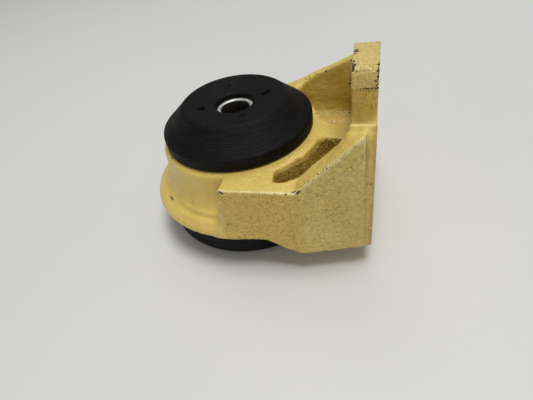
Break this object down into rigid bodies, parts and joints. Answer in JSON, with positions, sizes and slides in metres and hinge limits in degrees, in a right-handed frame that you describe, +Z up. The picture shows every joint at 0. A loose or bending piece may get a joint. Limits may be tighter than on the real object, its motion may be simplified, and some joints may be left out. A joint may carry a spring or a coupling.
{
  "type": "rubber isolator mounting bracket",
  "caption": "Cast bracket with a ring boss, side ribs and a vertical bolting flange, carrying a bonded rubber isolator with a steel sleeve for a through bolt.",
  "frame": {"origin": "middle of the four-hole bolt pattern on the flange's machined back face", "axes": "+X is the outward normal of the flange's back face, +Z is up along the isolator axis, +Y is sideways along the flange"},
  "size_m": [0.142, 0.121, 0.1009],
  "materials": {
    "painted_casting": "satin cream-yellow paint over a sand casting, chipped at the edges",
    "moulded_rubber": "matt black moulded rubber",
    "plate_steel": "bonded steel, hidden inside the rubber",
    "machined_steel": "turned steel, faced end"
  },
  "bodies": {
    "bracket": {"bracket_casting": "painted_casting", "upper_cushion": "moulded_rubber", "lower_cushion": "moulded_rubber", "upper_seat_ring": "plate_steel", "lower_seat_ring": "plate_steel"},
    "core": {"inner_sleeve": "machined_steel", "upper_load_plate": "plate_steel", "lower_load_plate": "plate_steel"}
  },
  "joints": [
    {"name": "core_bounce", "type": "slide", "parent": "bracket", "child": "core", "axis": [0, 0, 1], "range_m": [-0.003, 0.003], "stiffness_N_per_m": 400000, "deforming": ["upper_cushion", "lower_cushion"]}
  ]
}
